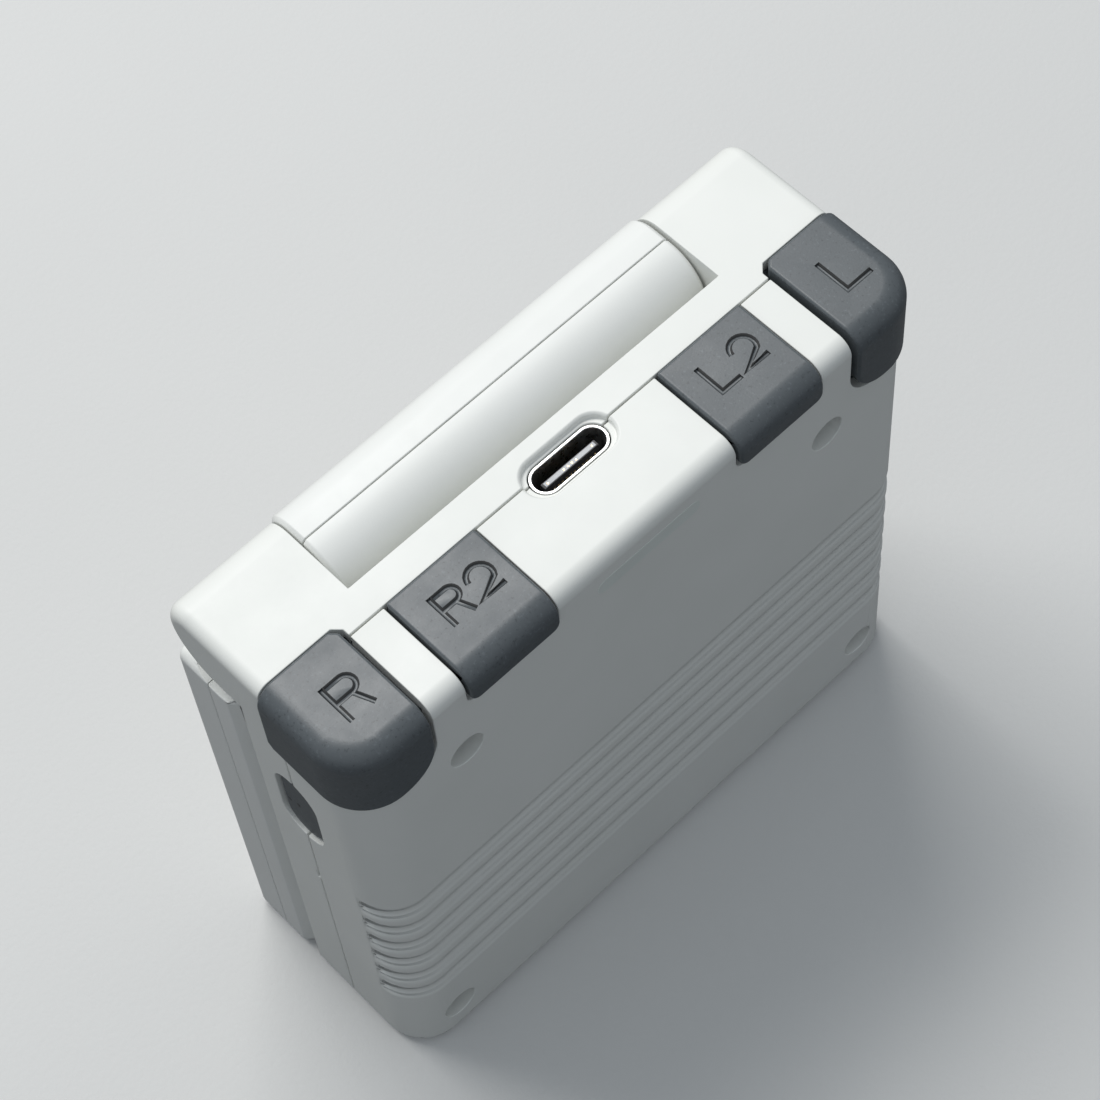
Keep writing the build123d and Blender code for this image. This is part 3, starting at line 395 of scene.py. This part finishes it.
# ---- Lid ----------------------------------------------------------------------------------------
# The lid is two mouldings that meet at a seam along the barrel and round the lid's sides. They are
# in the same plastic as the case, from another mould and a touch lighter.
lid_white = moulded(
    "off-white lid plastic", (0.82, 0.828, 0.80), (0.85, 0.856, 0.832), 0.45, 0.16 * mm, 0.012 * mm,
)
eased("lid_cover", "lid_outer_half", lid_white, 0.09 * mm)
lid_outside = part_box("lid_cover")[1][1]
eased(
    "lid_bezel", "lid_inner_half", lid_white, 0.13 * mm, 3,
    seams=[lid_outside - depth * mm for depth in (4.4, 5.0)], seam_gap=0.11 * mm,
)

# ---- Shoulder buttons ---------------------------------------------------------------------------
# Four grey caps with a fine spark-eroded texture that shows as pale and dark specks. L and R wrap
# round the case's corners, L2 and R2 sit beside the socket. Each has its letter cut into its top
# with a stroke whose sloping walls are painted near-black as shade; its flat bottom is cap grey.
# This near-black on the sloping walls of the letters is painted shade, not the cap's own colour.
letter_wall_painted_shade = moulded(
    "painted shade on the letter walls", (0.012, 0.013, 0.014), (0.018, 0.020, 0.021),
    0.6, 0.20 * mm, 0.012 * mm, specular=0.3,
)
button_grey = moulded(
    "spark-textured grey", (0.078, 0.090, 0.098), (0.092, 0.105, 0.114),
    0.42, 0.20 * mm, 0.018 * mm, fleck=0.30, specular=0.70,
)
stroke = 0.60 * mm
cut_depth = 0.28 * mm
bottom_share = 0.42
sharpest_lean = 0.4
cap_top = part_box("l_button")[1][2]


def letter_stroke(points):
    """Cutter for one stroke of a letter: a ribbon along the points, narrower at its bottom."""
    points = [Vector((x * mm, y * mm)) for x, y in points]
    shape = bmesh.new()
    rows = []
    for place, point in enumerate(points):
        before = (point - points[place - 1]).normalized() if place else None
        last = place + 1 == len(points)
        after = None if last else (points[place + 1] - point).normalized()
        run = ((before or after) + (after or before)).normalized()
        side = Vector((-run.y, run.x))
        lean = side.dot(Vector((-(after or before).y, (after or before).x)))
        half = side * (stroke / 2 / max(lean, sharpest_lean))
        row = []
        for edge, height in ((1, -cut_depth), (-1, -cut_depth), (-1, cut_depth), (1, cut_depth)):
            spot = point + half * edge * (bottom_share if height < 0 else 2 - bottom_share)
            row.append(shape.verts.new((spot.x, spot.y, cap_top + height)))
        rows.append(row)
    for one, other in zip(rows, rows[1:]):
        for a, b in ((0, 1), (1, 2), (2, 3), (3, 0)):
            shape.faces.new((one[a], one[b], other[b], other[a]))
    shape.faces.new(rows[0][::-1])
    shape.faces.new(rows[-1])
    bmesh.ops.recalc_face_normals(shape, faces=shape.faces)
    # The stroke's flat bottom keeps the cap grey; its sloping walls take the painted shade.
    for face in shape.faces:
        face.material_index = 0 if face.normal.z < -0.9 else 1
    mesh = bpy.data.meshes.new("letter stroke")
    shape.to_mesh(mesh)
    shape.free()
    mesh.materials.append(button_grey)
    mesh.materials.append(letter_wall_painted_shade)
    cutter = bpy.data.objects.new("letter stroke", mesh)
    scene.collection.objects.link(cutter)
    cutter.hide_render = True
    return cutter


def bend(centre, radius, start, stop, steps=9):
    """Points of an arc, with its angles in degrees."""
    places = []
    for step in range(steps + 1):
        turn = math.radians(start + (stop - start) * step / steps)
        places.append((centre[0] + radius * math.cos(turn), centre[1] + radius * math.sin(turn)))
    return places


def letter_r(left, foot, tall):
    """Strokes of an R: a stem with its bowl, and a short leg."""
    bowl = tall * 0.245
    middle = foot + tall * 0.50
    head = foot + tall - stroke / mm / 2
    wide = left + tall * 0.45
    top_run = [(left + stroke / mm / 2, head), (wide, head)]
    round_run = bend((wide, (head + middle) / 2), (head - middle) / 2, 80, -80)
    return [
        [(left, foot), (left, foot + tall)],
        top_run + round_run + [(wide, middle), (left, middle)],
        [(wide - 0.1 * bowl, middle), (wide + 0.75 * bowl, foot)],
    ]


def letter_l(left, foot, tall, wide):
    """Strokes of an L."""
    line = foot + stroke / mm / 2
    return [[(left, foot + tall), (left, line), (left + wide, line)]]


def figure_2(left, foot, tall, wide):
    """Strokes of a 2: an open crown, a slanting back and a foot."""
    radius = wide * 0.46
    centre = (left + wide * 0.52, foot + tall - radius - stroke / mm / 2)
    line = foot + stroke / mm / 2
    crown = bend(centre, radius, 175, -38, 12)
    return [crown + [(left + 0.1, line), (left + wide, line)]]


letters = {
    "r_button": letter_r(-31.5, -8.6, 4.25),
    "r2_button": letter_r(-18.95, -8.2, 3.75) + figure_2(-15.65, -8.25, 3.75, 2.75),
    "l2_button": letter_l(14.1, -8.15, 3.75, 2.4) + figure_2(17.25, -8.1, 3.85, 2.8),
    "l_button": letter_l(29.95, -8.55, 4.3, 3.1),
}
for node, strokes in letters.items():
    name = node.replace("_button", "").upper() + "_shoulder_button"
    cuts = [letter_stroke(points) for points in strokes]
    eased(node, name, button_grey, 0.32 * mm, 4, cuts, cut_painted_shade=letter_wall_painted_shade)

# ---- Power button and volume rocker -------------------------------------------------------------
# Two flat grey keys lie across the seam, one in each side of the case. The power button is sunk a
# little and has two pin holes for its light.
eased("power_button", "power_key", button_grey, 0.12 * mm, 2)
eased("volume_rocker", "volume_key", button_grey, 0.20 * mm, 3)
# The two pin holes are flat near-black plates on the key face: painted shade for the holes.
pin_hole_painted_shade, tree, shader, where = node_setup("pin hole, painted dark as shade", 0.35)
tones = [(0.3, (0.010, 0.010, 0.011)), (0.7, (0.020, 0.020, 0.022))]
tone = graded(tree, clouds(tree, where, 6000.0, 2), tones)
tree.links.new(tone, shader.inputs["Base Color"])
key_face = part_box("power_button")[0][0]
for y, z in ((-0.15, 45.0), (-1.5, 45.6)):
    hole_middle = (key_face + 0.015 * mm, y * mm, z * mm)
    hole = oblong(
        "power_light_hole", hole_middle, (0, 0, 1), (0, 1, 0), (-1, 0, 0),
        0.30 * mm, 0.22 * mm, 0.03 * mm, 0.01 * mm, 8,
    )
    hole.data.materials.append(pin_hole_painted_shade)
    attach(hole, "power_button_body")

# ---- Charging socket ----------------------------------------------------------------------------
# A drawn and plated steel shell with a rolled rim sits just below the hinge edge. Inside it a black
# plastic tongue with a pale tip carries the gold contacts on both its faces.
bright, tree, shader, where = node_setup("bright plated steel", 0.30, metal=1.0)
tones = [(0.3, (0.74, 0.74, 0.73)), (0.7, (0.86, 0.86, 0.85))]
tone = graded(tree, clouds(tree, where, 900.0, 4), tones)
tree.links.new(tone, shader.inputs["Base Color"])
polish = span(tree, clouds(tree, where, 1800.0, 4), 0.3, 0.7, 0.24, 0.38)
tree.links.new(polish, shader.inputs["Roughness"])
relief(tree, shader, clouds(tree, where, 4000.0, 2), 0.004 * mm, 0.5)
eased("usb_shell", "socket_shell", bright, 0.07 * mm, 2)

tongue_black = moulded(
    "black socket plastic", (0.022, 0.022, 0.024), (0.034, 0.034, 0.036),
    0.45, 0.10 * mm, 0.008 * mm, fleck=0.15,
)
eased("usb_tongue", "socket_tongue", tongue_black, 0.06 * mm, 2)
gold, tree, shader, where = node_setup("gold flash", 0.25, metal=1.0)
tones = [(0.3, (0.72, 0.52, 0.26)), (0.7, (0.90, 0.68, 0.36))]
tone = graded(tree, clouds(tree, where, 2500.0, 3), tones)
tree.links.new(tone, shader.inputs["Base Color"])
polish = span(tree, clouds(tree, where, 3000.0, 3), 0.3, 0.7, 0.18, 0.36)
tree.links.new(polish, shader.inputs["Roughness"])


def pads(name, finish, places, half, bevel, body):
    """Row of small raised pads, each a box with eased corners."""
    shape = bmesh.new()
    for place in places:
        made = bmesh.ops.create_cube(shape, size=1.0)
        bmesh.ops.scale(shape, vec=[2 * part for part in half], verts=made["verts"])
        bmesh.ops.translate(shape, vec=place, verts=made["verts"])
    rims = shape.edges[:]
    bmesh.ops.bevel(shape, geom=rims, offset=bevel, segments=2, affect="EDGES", profile=0.5)
    mesh = bpy.data.meshes.new(name)
    shape.to_mesh(mesh)
    shape.free()
    mesh.materials.append(finish)
    row = bpy.data.objects.new(name, mesh)
    scene.collection.objects.link(row)
    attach(row, body)
    return row


tongue_low, tongue_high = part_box("usb_tongue")
tongue_y = (tongue_low[1] + tongue_high[1]) / 2
tongue_tip = tongue_high[2]
contact_count = 12
contact_x = [0.5 * mm * (step - (contact_count - 1) / 2) for step in range(contact_count)]
contacts = [
    (x, tongue_y + side * 0.36 * mm, tongue_tip - 2.1 * mm) for x in contact_x for side in (-1, 1)
]
contact_half = (0.13 * mm, 0.03 * mm, 1.1 * mm)
pads("socket_contacts", gold, contacts, contact_half, 0.015 * mm, "base")
tip_grey = moulded(
    "grey tongue tip", (0.42, 0.43, 0.45), (0.56, 0.57, 0.59), 0.38, 0.10 * mm, 0.006 * mm, fleck=0.2,
)
tip_middle = [(0, tongue_y, tongue_tip)]
tip_half = (3.1 * mm, 0.24 * mm, 0.03 * mm)
pads("socket_tongue_tip", tip_grey, tip_middle, tip_half, 0.02 * mm, "base")
mark_y = tongue_y - 0.04 * mm
marks = [(contact_x[step], mark_y, tongue_tip + 0.03 * mm) for step in (0, 4, 5, 6, 7, 11)]
mark_half = (0.08 * mm, 0.09 * mm, 0.015 * mm)
pads("socket_contact_tips", gold, marks, mark_half, 0.006 * mm, "base")

# ---- Case screws --------------------------------------------------------------------------------
# Four small turned steel screws hold the two shells together. Each head has a cross recess.
steel, tree, shader, where = node_setup("turned steel", 0.34, metal=1.0)
tones = [(0.3, (0.17, 0.17, 0.18)), (0.7, (0.27, 0.27, 0.28))]
tone = graded(tree, clouds(tree, where, 1500.0, 4), tones)
tree.links.new(tone, shader.inputs["Base Color"])
polish = span(tree, clouds(tree, where, 2600.0, 4), 0.3, 0.7, 0.26, 0.46)
tree.links.new(polish, shader.inputs["Roughness"])
relief(tree, shader, clouds(tree, where, 7000.0, 3), 0.006 * mm, 0.5)
head_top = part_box("case_screws")[0][1]


def cross_slot(x, z, turn):
    """Cutter for one arm of a cross recess, narrower at its bottom."""
    shape = bmesh.new()
    made = bmesh.ops.create_cube(shape, size=1.0)
    bmesh.ops.scale(shape, vec=(2.0 * mm, 1.2 * mm, 0.42 * mm), verts=made["verts"])
    for corner in made["verts"]:
        if corner.co.y > 0:
            corner.co.x *= 0.35
            corner.co.z *= 0.6
        if turn:
            corner.co.x, corner.co.z = -corner.co.z, corner.co.x
    bmesh.ops.recalc_face_normals(shape, faces=shape.faces)
    bmesh.ops.translate(shape, vec=(x * mm, head_top + 0.2 * mm, z * mm), verts=shape.verts)
    mesh = bpy.data.meshes.new("cross slot")
    shape.to_mesh(mesh)
    shape.free()
    cutter = bpy.data.objects.new("cross slot", mesh)
    scene.collection.objects.link(cutter)
    cutter.hide_render = True
    return cutter


slots = [cross_slot(x, z, turn) for x, z in screw_places for turn in (False, True)]
eased("case_screws", "case_screw_set", steel, 0.12 * mm, 2, slots)

# ---- Cross pad and buttons of the control face --------------------------------------------------
# The cross pad and the seven keys are moulded in a darker grey with a smoother, slightly glossy
# face, and their rims are well rounded for the thumb.
key_grey = moulded(
    "smooth key grey", (0.118, 0.122, 0.130), (0.140, 0.145, 0.154), 0.34, 0.12 * mm, 0.004 * mm,
)
pad_low_corner, pad_high_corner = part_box("dpad")
pad_middle = [(low + high) / 2 for low, high in zip(pad_low_corner, pad_high_corner)]
dish_radius = 16 * mm
dish_rise = 15.7 * mm
dish_middle = (pad_middle[0], pad_high_corner[1] + dish_rise, pad_middle[2])
dish = bmesh.new()
bmesh.ops.create_uvsphere(dish, u_segments=48, v_segments=24, radius=dish_radius)
bmesh.ops.translate(dish, vec=dish_middle, verts=dish.verts)
dish_mesh = bpy.data.meshes.new("thumb dish")
dish.to_mesh(dish_mesh)
dish.free()
thumb_dish = bpy.data.objects.new("thumb dish", dish_mesh)
scene.collection.objects.link(thumb_dish)
eased("dpad", "cross_pad", key_grey, 0.35 * mm, 3, [thumb_dish])
for key in ("a", "b", "x", "y"):
    eased(key + "_button", key + "_key", key_grey, 0.45 * mm, 4)
for key in ("start", "select", "menu"):
    eased(key + "_button", key + "_key", key_grey, 0.18 * mm, 3)

# ---- Screen -------------------------------------------------------------------------------------
# A clear hardened window, black behind, is glued into the lid over the display, which is off. Four
# oblong rubber bumpers keep the two halves apart.
window, tree, shader, where = node_setup("black-backed window", 0.06)
tones = [(0.3, (0.006, 0.006, 0.008)), (0.7, (0.010, 0.010, 0.012))]
tone = graded(tree, clouds(tree, where, 40.0, 3), tones)
tree.links.new(tone, shader.inputs["Base Color"])
smears = span(tree, clouds(tree, where, 220.0, 5, 0.7), 0.35, 0.75, 0.04, 0.16)
tree.links.new(smears, shader.inputs["Roughness"])
shader.inputs["Coat Weight"].default_value = 0.6
shader.inputs["Coat Roughness"].default_value = 0.03
eased("screen_lens", "screen_window", window, 0.15 * mm, 2)

picture, tree, shader, where = node_setup("display, off", 0.25)
tones = [(0.3, (0.012, 0.012, 0.016)), (0.7, (0.018, 0.018, 0.024))]
tone = graded(tree, clouds(tree, where, 60.0, 2), tones)
tree.links.new(tone, shader.inputs["Base Color"])
relief(tree, shader, clouds(tree, where, 12000.0, 1), 0.003 * mm, 0.3)
eased("display_panel", "display_off", picture, 0.15 * mm, 2)

rubber = moulded(
    "grey silicone", (0.26, 0.26, 0.27), (0.32, 0.32, 0.33), 0.72, 0.15 * mm, 0.010 * mm,
)
eased("lid_bumpers", "bumper_set", rubber, 0.25 * mm, 3)

# ---- Pieces inside the case ---------------------------------------------------------------------
# These show only through slots and gaps, so they keep their plain solids: turned hinge pins, a
# green board, a foil-wrapped battery, black switches and speaker, and silicone contact mats.
black = moulded(
    "black moulding", (0.016, 0.016, 0.018), (0.024, 0.024, 0.026), 0.42, 0.14 * mm, 0.012 * mm,
)
green, tree, shader, where = node_setup("green solder resist", 0.30)
tracks = tree.nodes.new("ShaderNodeTexBrick")
tracks.inputs["Scale"].default_value = 420.0
tracks.inputs["Mortar Size"].default_value = 0.03
greens = {"Color1": (0.012, 0.10, 0.05), "Color2": (0.016, 0.13, 0.06), "Mortar": (0.03, 0.20, 0.10)}
for socket, colour in greens.items():
    tracks.inputs[socket].default_value = (*colour, 1)
tree.links.new(where, tracks.inputs["Vector"])
tree.links.new(tracks.outputs["Color"], shader.inputs["Base Color"])
relief(tree, shader, tracks.outputs["Fac"], 0.03 * mm, 0.6)

foil, tree, shader, where = node_setup("battery foil", 0.36, metal=0.4)
tones = [(0.3, (0.30, 0.31, 0.33)), (0.7, (0.42, 0.43, 0.45))]
tone = graded(tree, clouds(tree, where, 120.0, 5, 0.6, 0.8), tones)
tree.links.new(tone, shader.inputs["Base Color"])
relief(tree, shader, clouds(tree, where, 160.0, 5, 0.6, 1.2), 0.15 * mm, 0.6)

inside = {
    green: ("main_board",),
    foil: ("battery",),
    steel: ("shield_can", "card_socket", "hinge_pin", "hinge_shaft", "hinge_cartridge", "dpad_pivot"),
    black: ("speaker", "shoulder_switches", "side_switches"),
    rubber: ("dpad_mat", "button_mat", "small_mats"),
}
for finish, nodes in inside.items():
    for node in nodes:
        mesh = frame["nodes"][node].data
        mesh.materials.clear()
        mesh.materials.append(finish)
